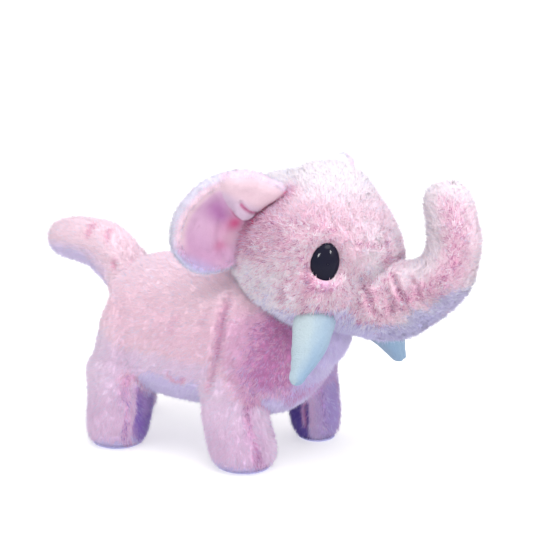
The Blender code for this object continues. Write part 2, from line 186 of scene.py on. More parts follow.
def torso_shell():
    s = spline(TORSO, 90, closed_ends=(1, 2))
    half = np.maximum(s[:, 1:3], THIN)
    centres = to_world(np.stack([s[:, 0], 0 * s[:, 0], s[:, 3]], 1))
    return shell(centres, half[:, :1] * (-1, 0, 0), half[:, 1:] * (0, 0, 1), power=0.94)


def ball_shell(centre, radii, frame_of=to_world):
    t = np.linspace(0, pi, 30)
    f, r, z = centre
    rows = np.stack([f - radii[0] * np.cos(t), r + 0 * t, z + 0 * t], 1)
    reach = np.maximum(np.sin(t), 0.002)[:, None]
    zero = frame_of([(0, 0, 0)])
    side = (frame_of([(0, 1, 0)]) - zero) * radii[1] * reach
    up = (frame_of([(0, 0, 1)]) - zero) * radii[2] * reach
    return shell(frame_of(rows), side, up, 40)


def leg_shell(stations):
    s = spline(stations, 50, closed_ends=(3, 4))
    half = np.maximum(s[:, 3:5], THIN)
    centres = to_world(s[:, [1, 2, 0]])
    return shell(centres, half[:, :1] * (0, -1, 0), half[:, 1:] * (-1, 0, 0), 48)


def bent_shell(stations, frame_of=to_world):
    """A tube with round ends in the middle plane of its frame, from (forward, up, radius) rows."""
    s = np.asarray(stations, float)
    ahead, behind = unit(s[-1, :2] - s[-2, :2]), unit(s[0, :2] - s[1, :2])
    caps_a, caps_b = [], []
    for turn in (90, 68, 42, 20):
        t = radians(turn)
        caps_a.append([*(s[0, :2] + behind * s[0, 2] * sin(t)), s[0, 2] * cos(t)])
        caps_b.append([*(s[-1, :2] + ahead * s[-1, 2] * sin(t)), s[-1, 2] * cos(t)])
    s = spline(np.vstack([caps_a, s, caps_b[::-1]]), 110)
    middle = np.stack([s[:, 0], 0 * s[:, 0], s[:, 1]], 1)
    along = unit(np.gradient(middle, axis=0))
    radius = np.maximum(s[:, 2:3], THIN)
    upright = np.cross(along, (0, 1.0, 0))
    zero = frame_of([(0, 0, 0)])
    return shell(frame_of(middle), frame_of(radius * (0, 1, 0)) - zero, frame_of(upright * radius) - zero, 48)


def link(name, data):
    made = bpy.data.objects.new(name, data)
    bpy.context.scene.collection.objects.link(made)
    return made


def fused(name, shells, voxel, smoothing):
    """One skin over all these shells: points and quads."""
    points, quads, start = [], [], 0
    for p, q in shells:
        points.append(p)
        quads.append(q + start)
        start += len(p)
    mesh = bpy.data.meshes.new(name)
    mesh.from_pydata((np.vstack(points) * MM).tolist(), [], np.vstack(quads).tolist())
    made = link(name, mesh)
    remesh = made.modifiers.new("fuse", "REMESH")
    remesh.mode = "VOXEL"
    remesh.voxel_size = voxel * MM
    relax = made.modifiers.new("relax", "SMOOTH")
    relax.factor = 0.5
    relax.iterations = smoothing
    finer = made.modifiers.new("finer", "SUBSURF")
    finer.levels = finer.render_levels = 1
    graph = bpy.context.evaluated_depsgraph_get()
    made_mesh = bpy.data.meshes.new_from_object(made.evaluated_get(graph))
    co = np.empty(len(made_mesh.vertices) * 3, np.float32)
    made_mesh.vertices.foreach_get("co", co)
    corners = np.empty(len(made_mesh.loops), np.int32)
    made_mesh.loops.foreach_get("vertex_index", corners)
    bpy.data.objects.remove(made)
    bpy.data.meshes.remove(made_mesh)
    return co.reshape(-1, 3).astype(float) / MM, corners.reshape(-1, 4)


def normals_of(co, quads):
    n = np.cross(co[quads[:, 2]] - co[quads[:, 0]], co[quads[:, 3]] - co[quads[:, 1]])
    total = np.zeros_like(co)
    for corner in range(4):
        for axis in range(3):
            total[:, axis] += np.bincount(quads[:, corner], n[:, axis], len(co))
    return unit(total)


def facing_out(co, quads):
    """The outward quads and normals of a closed piece."""
    normals = normals_of(co, quads)
    if ((co - co.mean(0)) * normals).sum() < 0:
        return quads[:, ::-1], -normals
    return quads, normals


# ---- creases


def near_curve(co, line, reach):
    """Distance to a curve and the share of its length there, for points within reach."""
    distance = np.full(len(co), 1e3)
    along = np.zeros(len(co))
    low, high = line.min(0) - reach, line.max(0) + reach
    inside = np.where(((co > low) & (co < high)).all(1))[0]
    if len(inside):
        gaps = norm(co[inside, None] - line[None], axis=2)
        best = gaps.argmin(1)
        distance[inside] = gaps[np.arange(len(inside)), best]
        along[inside] = best / (len(line) - 1)
    return distance, along


def crease(co, normals, places, depth, width, lip=0.0, frame_of=to_world, mask=None, sharp_ends=False):
    """Pushes the skin in along a line, with a soft lip beside it, and marks it in the mask."""
    distance, along = near_curve(co, frame_of(spline(places, 60)), width * 4)
    ends = 1.0 if sharp_ends else np.sqrt(np.clip(np.sin(pi * along), 0, 1))
    pit = bell(distance, width) * ends
    rim = bell(distance - 2.1 * width, 1.1 * width) * ends
    co += normals * (lip * rim - depth * pit)[:, None]
    if mask is not None:
        np.maximum(mask, pit, out=mask)


# ---- the body

# rows of (up, forward, right, half length, half width), from the sole to inside the body
LEGS = {
    "front_right": [
        (-1, 43.4, 32, 0, 0), (0.6, 43.4, 32, 11, 10.5), (5, 43.9, 32, 19, 17.2),
        (16, 42.7, 32.5, 20.8, 19.2), (30, 39.6, 32.5, 19.8, 19.4), (44, 37.7, 31.5, 20.0, 19.8),
        (60, 39.4, 30, 21.4, 20), (76, 42, 26, 12, 12), (84, 42, 26, 0, 0),
    ],
    "rear_right": [
        (-1, -48.6, 32, 0, 0), (0.4, -48.6, 32, 12, 10.5), (5, -48.6, 32, 17.8, 16),
        (16, -46.9, 32.5, 19.6, 18.8), (30, -45.6, 32, 20.0, 20), (44, -45.0, 31.5, 20.2, 20.5),
        (60, -44.6, 30, 20.4, 20), (76, -43, 26, 13, 12), (84, -43, 26, 0, 0),
    ],
    "front_left": [
        (-1, 64, -34, 0, 0), (0.6, 64, -34, 8, 8), (5, 64, -34, 13.6, 12.8),
        (16, 63.2, -33.5, 16, 15.4), (30, 61.8, -32.5, 16.0, 15.4), (44, 60.8, -31.5, 16.0, 15.8),
        (60, 59.6, -29, 16.6, 16), (74, 58, -25, 9, 9), (80, 58, -25, 0, 0),
    ],
    "rear_left": [
        (-1, -68.5, -27, 0, 0), (0.4, -68.5, -27, 7, 8), (5, -68.5, -27, 11.0, 12.5),
        (16, -68.8, -27, 11.5, 14), (30, -69.5, -27, 12.0, 14.8), (44, -70, -27.5, 12.2, 15.4),
        (60, -70, -27, 12.2, 16.2), (74, -62, -24, 9, 10), (80, -62, -24, 0, 0),
    ],
}
FOOT = 2  # the row of a leg that its sole follows
LEG_BLEND = (42.0, 20.0)  # the height at which a leg's skin is cut from the body's, and a lower height that goes only into the ends of a blend that is not carried out
LEG_SLANT = 0.26
LEG_MIDDLE = 31.0
LEG_MARGIN = 4.5

# rows of (forward, up, radius)
TAIL = [
    (-50, 92, 16), (-57, 103.5, 16), (-65, 114.5, 15.8), (-75, 121.8, 15.4), (-90, 124.6, 14.2),
    (-104, 124.2, 12),
]
TAIL_UP = unit(np.array((-0.62, 0.0, 0.78)))
TAIL_BLEND = (116.0, 134.0)
TAIL_RING = [(-45.5, 4, 116), (-47, 16, 112), (-55, 20.5, 103), (-64, 13, 96), (-67, 0, 94)]
THIGH_FOLD = [(-4, 48, 93), (-10, 50, 85), (-16, 50.5, 75), (-20, 49, 64), (-22.5, 46, 50)]
INNER_SEAMS = ((47, 12.5), (-45, 12), (63, -17.5), (-65, -13.5))

# centres and radii of the shoulders, the thighs and the chest
BULGES = [
    ((42, 30, 77), (24, 20.5, 34)), ((-42, 29, 73), (24, 21, 30)), ((58, -28, 70), (19, 18.5, 28)),
    ((-58, -26, 75), (16, 20, 25)), ((83, 4, 89), (18.5, 22, 27)),
]

# depth, width, lip and line of each crease
BODY_CREASES = [
    # down the seam of the rear leg
    (1.8, 2.0, 0.5, [(-24, 47, 58), (-25, 45, 45), (-27, 46, 30), (-30, 48, 16), (-34, 46, 4)]),
    # behind the shoulder, and the seam of the front leg
    (2.6, 3.0, 1.0, [(39.5, 37, 116), (38.2, 43.5, 103), (37.7, 49, 89), (35.5, 51, 76),
                     (31.6, 50, 63), (29, 47, 50)]),
    (1.1, 1.6, 0.4, [(58, 48, 72), (58.5, 47, 62), (59.6, 46, 44), (60.1, 46, 31), (60.4, 45, 14),
                     (60, 42, 4)]),
    # folds of the flank
    (0.9, 1.8, 0.3, [(30, 44, 108), (26, 47, 100), (24, 49, 92)]),
    (0.8, 2.0, 0.3, [(8, 47, 100), (5, 50, 91), (3, 51, 84)]),
    (0.8, 2.0, 0.3, [(-2, 47, 60), (5, 45, 52), (12, 46, 58)]),
    # the left side, which has the same pattern pieces
    (1.9, 2.4, 0.8, [(4, -42, 110), (-8, -49, 92), (-22, -50, 72), (-34, -46, 54), (-46, -43, 34),
                     (-50, -42, 10)]),
    (2.2, 2.3, 0.9, [(46, -38, 112), (45, -47, 92), (44, -50, 74), (43, -46, 54)]),
    (1.6, 1.8, 0.5, [(76, -45, 60), (77.5, -37, 46), (78, -37, 30), (78, -38, 14), (77, -37, 4)]),
    # the seams inside the legs
    *[(0.8, 1.4, 0.2, [(f, r, 30), (f, r, 16), (f, r, 5)]) for f, r in INNER_SEAMS],
    # along the back and under the belly
    (0.7, 1.5, 0.2, [(70, 0, 116), (40, 0, 126), (0, 0, 125), (-35, 0, 120)]),
    (0.9, 1.5, 0.2, [(70, 0, 42), (30, 0, 33), (0, 0, 31), (-40, 0, 35), (-62, 0, 60)]),
    # where the tail is sewn on, and its elbow
    (2.0, 2.2, 0.8, TAIL_RING),
    (2.0, 2.2, 0.8, [(f, -r, z) for f, r, z in TAIL_RING]),
    (1.2, 1.6, 0.5, [(-66, 2, 134), (-65, 10, 131), (-62, 15, 125)]),
    (1.3, 1.7, 0.4, [(-60, 9, 120), (-57, 15, 114), (-54, 18, 110)]),
    (0.7, 2.0, 0.3, [(-76, 3, 138.5), (-78, 11, 134), (-78, 15, 128)]),
]


def make_body():
    shells = [torso_shell(), *[ball_shell(*bulge) for bulge in BULGES], bent_shell(TAIL)]
    shells += [leg_shell(stations) for stations in LEGS.values()]
    co, quads = fused("body_form", shells, 2.2, 7)
    # the rump leans forward towards the tail
    f, _, z = from_world(co).T
    lean = below(f, -30, 34) * np.clip(z - 52, 0, 24) * below(z, 107, 14)
    co[:, 1] -= 0.36 * lean
    no = normals_of(co, quads)
    place = from_world(co)
    co += no * (0.4 * waves(place, 36, 5) + 0.1 * waves(place, 13, 6))[:, None]
    mask = np.zeros(len(co))
    crease(co, no, THIGH_FOLD, 1.2, 3.4, 0.5)
    for depth, width, lip, places in BODY_CREASES:
        crease(co, no, places, depth, width, lip, mask=mask)
    co[:, 2] = np.maximum(co[:, 2], 0.6)
    return co, quads, normals_of(co, quads), mask


# ---- the head and the trunk

# rows of (forward, up, radius) in the head's frame
TRUNK = [
    (36, -28, 21), (47, -29, 21.3), (58, -27, 20.2), (71, -21, 18), (82, -12, 16.4),
    (88.4, -3, 15.2), (91, 8, 14.1), (90.2, 19, 13.8), (87.6, 28.5, 13.5), (85.2, 33.5, 12.8),
]
HEAD_BLEND = ((40, 0, -30), (64, 0, -26))
CURL_BLEND = ((85, 0, -9), (92, 0, 12))
TRUNK_CUT = (np.array((75.0, 0, -17.5)), unit(np.array((0.8, 0, 0.6))))
HEAD_RADIUS = 51
EYE_SIDE = radians(52.6)
# centres and radii of the skull, the cheeks, the muzzle and the brow
HEAD_BALLS = [
    ((0, 0, 0), (51, 51, 51)), ((14, 24, -20), (28, 25, 25)), ((14, -24, -20), (28, 25, 25)),
    ((30, 0, -27), (28, 27, 22)), ((22, 0, 10), (25, 30, 26)),
]

# depth, width, lip and line of each crease, on both sides of the head
SIDE_CREASES = [
    # wrinkles that fan out from the root of the trunk
    (1.7, 1.6, 0.6, [(43, 23, -12), (47, 20.5, -19), (52, 22, -27), (54.6, 20.7, -34)]),
    (1.9, 1.6, 0.8, [(57.9, 10.4, -8), (64.3, 17.4, -14), (71.7, 19.3, -24.5), (75, 16, -32)]),
    (1.8, 1.5, 0.6, [(54, 14, -7), (58, 18.5, -14), (62, 20, -24), (64, 18, -33)]),
    (1.5, 1.5, 0.5, [(70, 14, -8), (76.5, 18, -12.4), (80, 18, -20.5), (84, 14, -27.6)]),
    (0.8, 1.2, 0.4, [(36, 25, -20), (39, 22.5, -26), (38, 21.5, -35)]),
    # wrinkles of the brow
    (0.5, 1.2, 0.3, [(36, 31, 17), (43, 23, 15), (48, 12, 15)]),
    (0.5, 1.2, 0.3, [(40, 29, 8), (47, 19, 6), (51, 9, 6)]),
    # the seam from the crown down the brow to the trunk
    (0.9, 2.4, 0.3, [(26, 12, 44), (34.6, 9.8, 38.6), (44, 5.5, 28), (50, 4, 15), (52, 7, 2),
                     (56, 10, -5)]),
    # the fold of the cheek behind the tusk
    (2.2, 2.6, 0.8, [(5, 48, -19), (8, 46, -24), (9, 42, -30), (10, 38.5, -35)]),
]
MIDDLE_CREASES = [
    # the notch between the brow and the trunk
    (0.2, 1.6, 0.1, [(51, 15, 1), (54, 6, -2.5), (54, -6, -2.5), (51, -15, 1)]),
    # the seam under the chin and the trunk
    (0.7, 1.4, 0.2, [(10, 0, -51), (34, 0, -49), (58, 0, -47), (80, 0, -36), (100, 0, -14)]),
]


def make_head_form():
    shells = [ball_shell(*ball, from_head) for ball in HEAD_BALLS] + [bent_shell(TRUNK, from_head)]
    co, quads = fused("head_form", shells, 2.0, 9)
    no = normals_of(co, quads)
    place = to_head(co)
    # the brow is flat and so is the crown behind its top, and the bridge stands out
    brow = blob(place, (40, 0, 31), (17, 40, 17))
    crown = blob(place, (-14, 0, 49), (15, 40, 16))
    bridge = blob(place, (53.5, 0, -2.5), (11, 30, 10))
    co -= no * (5.5 * brow + 4.9 * crown - 4.0 * bridge)[:, None]
    no = normals_of(co, quads)
    place = to_head(co)
    co += no * (0.45 * waves(place, 26, 8) + 0.2 * waves(place, 11, 9))[:, None]
    mask = np.zeros(len(co))

    def cut(rows, side):
        for depth, width, lip, places in rows:
            crease(co, no, np.array(places) * (1, side, 1), depth, width, lip, from_head, mask)

    for side in (1, -1):
        # the button of the eye pulls the skin in
        eye = (HEAD_RADIUS * cos(EYE_SIDE), side * HEAD_RADIUS * sin(EYE_SIDE), 0)
        gap = norm(place - eye, axis=1)
        co -= no * (2.4 * np.exp(-((gap / 12) ** 4)))[:, None]
        cut(SIDE_CREASES, side)
    cut(MIDDLE_CREASES, 1)
    return co, quads, normals_of(co, quads), mask


# ---- materials


def colour(red, green, blue):
    """An sRGB colour from 0 to 255 as linear numbers."""
    c = np.array((red, green, blue)) / 255
    return np.where(c <= 0.04045, c / 12.92, ((c + 0.055) / 1.055) ** 2.4)


WHITE = colour(255, 250, 254)
BLUSH = colour(255, 231, 242)
PINK = colour(255, 213, 230)
ROSE = colour(242, 172, 208)
DEEP = colour(226, 96, 158)
MAUVE = colour(212, 150, 202)
PLUM = colour(202, 108, 176)
LILAC = colour(236, 218, 252)
PERI = colour(198, 196, 246)
VIOLET = colour(128, 92, 196)
# painted rim light: the frosty pale blue of the down, the ear edges and the top of the ear backs
FROST_PAINTED_LIGHT = colour(222, 232, 255)
HOT = colour(236, 48, 128)
DUSK = colour(74, 46, 156)
MINT = colour(198, 216, 224)
SKY_SHADE = colour(142, 174, 210)
BARE = 0.76  # smooth cloth returns more light, so its colours are deeper
FELT_DEPTH = 0.74  # the same for the felt of the tusks


def mix(a, b, t):
    return a + (b - a) * np.clip(t, 0, 1)[:, None]


def flat_tint(rgb, places):
    return np.tile(rgb, (len(places), 1))


def layered(tint, *layers):
    """Mixes each colour over the tint in turn, by its share."""
    for rgb, share in layers:
        tint = mix(tint, rgb, share)
    return tint


def shader_of(material):
    return material.node_tree.nodes["Principled BSDF"]


def plain_material(name, rgb, roughness=0.9, sheen=0.0):
    made = bpy.data.materials.new(name)
    made.use_nodes = True
    values = {"Base Color": (*rgb, 1), "Roughness": roughness, "Specular IOR Level": 0.15}
    if sheen:
        values |= {"Sheen Weight": sheen, "Sheen Roughness": 0.5, "Sheen Tint": (0.86, 0.9, 1, 1)}
    for socket, value in values.items():
        shader_of(made).inputs[socket].default_value = value
    return made


def node(tree, kind, **inputs):
    """A shader node with these values and links for its inputs, where _ stands for a space."""
    made = tree.nodes.new("ShaderNode" + kind)
    for name, value in inputs.items():
        entry = made.inputs[name.replace("_", " ")]
        if isinstance(value, bpy.types.NodeSocket):
            tree.links.new(value, entry)
        else:
            entry.default_value = value
    return made


def cloth_material(name, grain, bump, sheen=0.35, weave=None, spread=0.18, rgb=None):
    """Short pile seen from far off: the tint stored on the skin, with any painted light and shade, broken up
    by fine noise.
    """
    made = plain_material(name, PINK, sheen=sheen)
    tree, shader = made.node_tree, shader_of(made)
    join = tree.links.new
    where = node(tree, "TexCoord").outputs["Object"]
    height = node(tree, "TexNoise", Vector=where, Scale=grain, Detail=5, Roughness=0.7).outputs["Fac"]
    if rgb is None:
        tint = node(tree, "Attribute")
        tint.attribute_name = "tint"
        base = tint.outputs["Color"]
    else:
        base = node(tree, "RGB").outputs[0]
        base.default_value = (*rgb, 1)
    ramp = node(tree, "MapRange", Value=height, From_Min=0.3, From_Max=0.7, To_Min=1 - spread,
                To_Max=1 + spread * 0.4)
    scaled = node(tree, "VectorMath")
    scaled.operation = "SCALE"
    join(base, scaled.inputs[0])
    join(ramp.outputs["Result"], scaled.inputs["Scale"])
    join(scaled.outputs[0], shader.inputs["Base Color"])
    if weave:
        weave_cells = node(tree, "TexVoronoi", Vector=where, Scale=weave)
        both = node(tree, "Math")
        both.operation = "ADD"
        join(height, both.inputs[0])
        join(weave_cells.outputs["Distance"], both.inputs[1])
        height = both.outputs[0]
    relief = node(tree, "Bump", Height=height, Strength=bump, Distance=0.0006)
    join(relief.outputs["Normal"], shader.inputs["Normal"])
    return made


def eye_material():
    made = plain_material("eye_gloss", (0.006, 0.008, 0.018), 0.08)
    tree, shader = made.node_tree, shader_of(made)
    shader.inputs["Specular IOR Level"].default_value = 0.12
    where = node(tree, "TexCoord").outputs["Object"]
    height = node(tree, "TexNoise", Vector=where, Scale=60).outputs["Fac"]
    ramp = node(tree, "ValToRGB", Fac=height)
    ramp.color_ramp.elements[0].color = (0.004, 0.007, 0.020, 1)
    ramp.color_ramp.elements[1].color = (0.012, 0.009, 0.022, 1)
    tree.links.new(ramp.outputs["Color"], shader.inputs["Base Color"])
    fine = node(tree, "MapRange", Value=height, To_Min=0.05, To_Max=0.16)
    tree.links.new(fine.outputs["Result"], shader.inputs["Roughness"])
    return made


# ---- skins and pile


def new_mesh(name, co, faces, normals):
    """A smooth mesh from arrays, shaded by the given normals."""
    mesh = bpy.data.meshes.new(name)
    mesh.vertices.add(len(co))
    mesh.vertices.foreach_set("co", (co * MM).astype(np.float32).ravel())
    mesh.loops.add(faces.size)
    mesh.loops.foreach_set("vertex_index", faces.astype(np.int32).ravel())
    mesh.polygons.add(len(faces))
    starts = np.arange(len(faces)) * faces.shape[1]
    mesh.polygons.foreach_set("loop_start", starts.astype(np.int32))
    mesh.update(calc_edges=True)
    mesh.shade_smooth()
    free = mesh.attributes.new("custom_normal", "FLOAT_VECTOR", "POINT")
    free.data.foreach_set("vector", normals.astype(np.float32).ravel())
    return mesh


def skin_object(name, co, quads, normals, tints, material, select=slice(None)):
    """A piece of a skin: the chosen quads, shaded as part of the whole."""
    chosen = quads[select]
    used, index = np.unique(chosen, return_inverse=True)
    mesh = new_mesh(name, co[used], index.reshape(chosen.shape), normals[used])
    layer = mesh.color_attributes.new("tint", "FLOAT_COLOR", "POINT")
    rgba = np.ones((len(used), 4), np.float32)
    rgba[:, :3] = tints[used]
    layer.data.foreach_set("color", rgba.ravel())
    mesh.materials.append(material)
    return link(name, mesh)


def whole_piece(name, co, quads, rgb, material):
    """A closed piece in one tint."""
    return skin_object(name, co, *facing_out(co, quads), flat_tint(rgb, co), material)


def cells(points, size):
    """A steady random number from -1 to 1 for each cell of a grid of this size."""
    c = np.floor(points / size).astype(np.int64) + 4096
    mixed = (c[:, 0] * 73856093) ^ (c[:, 1] * 19349663) ^ (c[:, 2] * 83492791)
    mixed = (mixed ^ (mixed >> 13)) * 1274126177 & 0x7FFFFFFF
    return (mixed % 10007) / 5003.0 - 1


def tint_groups(tints, count):
    """A few colours for these tints, and the number of each tint's colour."""
    seen = np.sqrt(np.clip(tints, 0.0005, 1))
    sample = seen[:: max(1, len(seen) // 5000)]
    order = sample.sum(1).argsort()
    middles = sample[order[np.linspace(0, len(order) - 1, count).astype(int)]]
    for _ in range(8):
        group = norm(sample[:, None] - middles[None], axis=2).argmin(1)
        for k in range(count):
            if (group == k).any():
                middles[k] = sample[group == k].mean(0)
    group = norm(seen[:, None] - middles[None], axis=2).argmin(1)
    return middles**2, group


def put(pieces, join, nodes):
    """Rides pieces on the body named by join; a (body, body, start, end) blend is not carried out, and such
    pieces are only fixed where they are. Hides these nodes."""
    for piece in pieces:
        if isinstance(join, str):
            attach(piece, join)
        else:
            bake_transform(piece)
    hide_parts(*nodes)


MOST_TUFTS = 48000
TINTS = 12
ROOT_DEPTH = 0.5  # the foot of a tuft is this far under the skin
FLOOR_GAP = 0.2
NEEDLE = np.array([(0, 3, 1), (1, 3, 2), (2, 3, 0), (0, 1, 2)])
FLECK_DARK = (0.56, 0.28, 0.5)


def pile(name, skin, select, density, length, width, lean, comb, ruffle=0.35, tone=0.05, grain=None,
         weight=None, soft=0.85, fuzz=0.12, strand=0.9):
    """Loose pile on a skin: a closed four-sided needle for each tuft, and down past it whose frosty pale blue
    is painted rim light.

    density is tufts for each square millimetre, lean the angle from the skin, comb the way the pile
    lies, grain how far flecks stand out, weight where tufts grow and fuzz the share of down."""
    co, quads, normals, tints = skin
    chosen = quads[select]
    corners = co[chosen]
    across, along = corners[:, 2] - corners[:, 0], corners[:, 3] - corners[:, 1]
    area = 0.5 * norm(np.cross(across, along), axis=1)
    share = area if weight is None else area * weight(corners.mean(1))
    count = int(share.sum() * density)
    face = RNG.choice(len(chosen), count, p=share / share.sum())
    u, v = RNG.random((2, count, 1))

    def spread(values):
        a, b, c, d = (values[chosen[face, k]] for k in range(4))
        return (a * (1 - u) + b * u) * (1 - v) + (d * (1 - u) + c * u) * v

    root, normal, tint = spread(co), unit(spread(normals)), spread(tints)
    down = (RNG.random((count, 1)) < fuzz) * 1.0
    flow = comb(root) + ruffle * RNG.normal(size=(count, 3))
    swirl = np.stack([waves(root, 7, k) for k in (31, 32, 33)], 1)
    flow = flow + (0.15 + 0.4 * ruffle) * swirl
    flow = unit(flow - normal * (flow * normal).sum(1, keepdims=True))
    angle = radians(lean) * (1 + 0.3 * RNG.normal(size=(count, 1)))
    angle = np.clip(angle + down * radians(28), radians(8), radians(82))
    axis = flow * np.cos(angle) + normal * np.sin(angle)
    reach = length * (1 + 0.22 * RNG.normal(size=(count, 1))).clip(0.4, 1.5) * (1 + 0.12 * down)
    side = unit(np.cross(axis, normal))
    back = np.cross(side, axis)
    foot = root - normal * ROOT_DEPTH
    half = 0.5 * width * (1 - 0.5 * down)
    tip = root + axis * reach
    verts = np.stack([foot + side * half, foot + back * half * 1.2, foot - side * half, tip], 1)
    verts[..., 2] = np.maximum(verts[..., 2], FLOOR_GAP)
    noisy = tint * (1 + tone * RNG.normal(size=(count, 1)))
    if grain is not None:
        fleck = 0.6 * cells(root, 1.2) + 0.45 * cells(root, 2.1) + 0.3 * RNG.normal(size=count)
        fleck *= spread(grain[:, None])[:, 0]
        noisy = mix(noisy, WHITE, strand * fleck.clip(0, 1))
        noisy = mix(noisy, tint * FLECK_DARK, 1.35 * (-fleck - 0.14).clip(0, 0.7))
    bright = 0.3 + 0.7 * smooth(tint.mean(1, keepdims=True) / 0.6)
    # the down takes a frosty pale blue, painted rim light, dimmer where the tint is dark
    noisy = noisy * (1 - 0.7 * down) + FROST_PAINTED_LIGHT * 0.7 * down * bright
    middles, group = tint_groups(noisy, TINTS)
    materials = [plain_material(f"{name}_{k}", rgb, 0.95, 0.25) for k, rgb in enumerate(middles)]
    lit = normal * soft + axis * (1 - soft)
    lit = np.stack([unit(lit + side * 0.4), unit(lit), unit(lit - side * 0.4), unit(lit)], 1)
    made = []
    for start in range(0, count, MOST_TUFTS):
        part = slice(start, start + MOST_TUFTS)
        tufts = group[part]
        faces = (NEEDLE[None] + 4 * np.arange(len(tufts))[:, None, None]).reshape(-1, 3)
        mesh = new_mesh(name, verts[part].reshape(-1, 3), faces, lit[part])
        for material in materials:
            mesh.materials.append(material)
        mesh.polygons.foreach_set("material_index", np.repeat(tufts, 4).astype(np.int32))
        made.append(link(f"{name}_{start // MOST_TUFTS + 1}", mesh))
    return made


# ---- colours of the skins


def body_tints(co, normals, mask):
    place = from_world(co)
    f, r, z = place.T
    nf, nr, nz = swapped(normals).T
    patches = 0.5 + 0.5 * waves(place, 30, 11)
    inner = np.where(r > 0, -nr, nr)
    low = below(z, 56, 22)
    rear = below(f, -20, 8)
    facing = above(nr, -0.35, 0.5)
    far = below(r, 0, 8) * above(f, 20, 10)
    near = above(nr, -0.1, 0.5) * above(r, 0, 8)
    breast = above(f, 66, 14) * below(r, 34, 14)
    under_tail = below(nz, 0.35, 0.8) * below(f, -50, 10) * above(z, 98, 10)
    return layered(flat_tint(PINK, co),
        # painted light and shade: paler on top, lilac lower down, periwinkle shade on the underside and near
        # the floor
        (BLUSH, 0.55 * above(z, 88, 34)),
        (ROSE, 0.16 * smooth(patches) * below(z, 118, 40)),
        (LILAC, 0.55 * below(z, 100, 50)),
        (PERI, smooth(-nz * 1.4 - 0.1) * 0.7),
        (PERI, 0.45 * below(z, 14, 12)),
        # painted shade on the insides and lower parts of the legs: deepest on the sides that face the right
        # leg of the pair, violet on the inner fronts of the rear legs, mauve and dusk on the far front leg
        (PERI * 0.6 + VIOLET * 0.4, above(inner, 0.2, 0.5) * low * np.where(r > 0, 0.8, 0.3)),
        (VIOLET, above(nf, 0.74, 0.2) * above(r, 0, 8) * rear * low * 0.95),
        (VIOLET, facing * above(nf, 0.1, 0.5) * below(r, 0, 8) * rear * low * 0.8),
        (MAUVE, 0.35 * far * low),
        (DUSK, facing * below(nf, 0.22, 0.32) * far * low * 0.95),
        (DEEP * 0.4 + MAUVE * 0.6, leg_strip(place, nf) * 0.6),
        # painted shade on the right side, in front of the shoulder seam and down the legs, and paler low on
        # the rump
        (MAUVE, near * 0.5 * bell(f - 50, 15) * below(z, 112, 20) * above(z, 50, 22)),
        (MAUVE, near * 0.26 * above(f, 14, 10) * below(z, 40, 18)),
        (MAUVE, near * 0.22 * below(f, -20, 14) * below(z, 84, 24)),
        (LILAC * 0.4 + WHITE * 0.6, 0.4 * below(f, -28, 24) * below(z, 96, 20) * above(z, 26, 20)),
        # the grainy chest, darkened with painted shade under the head, and the smooth breast in painted
        # periwinkle shade, violet low down
        (PLUM, chest_share(place) * 0.8),
        (PERI, breast * 0.75),
        (VIOLET, breast * 0.5 * below(z, 62, 16)),
        # painted shade under the tail
        (LILAC * 0.7 + PERI * 0.3, under_tail * 0.7),
        # painted shade in the creases
        (DEEP * 0.7 + ROSE * 0.3, mask * 0.75),
        (PLUM, mask * below(z, 62, 20) * 0.7),
    )


def leg_strip(place, nf):
    """The grainy strip down the front of each leg."""
    f, r, z = place.T
    middle = np.where(r < 0, 0.72, np.where(f > 0, 0.76, 0.62))
    return bell(nf - middle, 0.11) * below(z, 62, 16) * above(np.abs(r), 8, 6)


def chest_share(place):
    """The share of the chest, where the pile is curled and grainy and painted shade under the head darkens
    it.
    """
    f, r, z = place.T
    share = above(f - 0.25 * (z - 80), 42, 24) * below(z, 112, 14) * above(z, 40, 22)
    return share * above(r, 16, 16)


def beside(flat, line):
    """The nearest place of a line to each point: its number, the way from it, and its direction."""
    best = norm(flat[:, None] - line[None], axis=2).argmin(1)
    return best, flat - line[best], unit(np.gradient(line, axis=0))[best]


def trunk_beside(flat):
    return beside(flat, spline(TRUNK, 60)[:, :2])


def trunk_offset(place):
    """How far a place is from the middle of the grainy band on the trunk."""
    gaps = np.full(len(place), 1e3)
    near = np.where(place[:, 0] > 40)[0]
    best, away, run = trunk_beside(place[near][:, (0, 2)])
    outward = run[:, 1] * away[:, 0] - run[:, 0] * away[:, 1]
    gaps[near] = np.abs(outward - 6 * above(best, 18, 14))
    return gaps


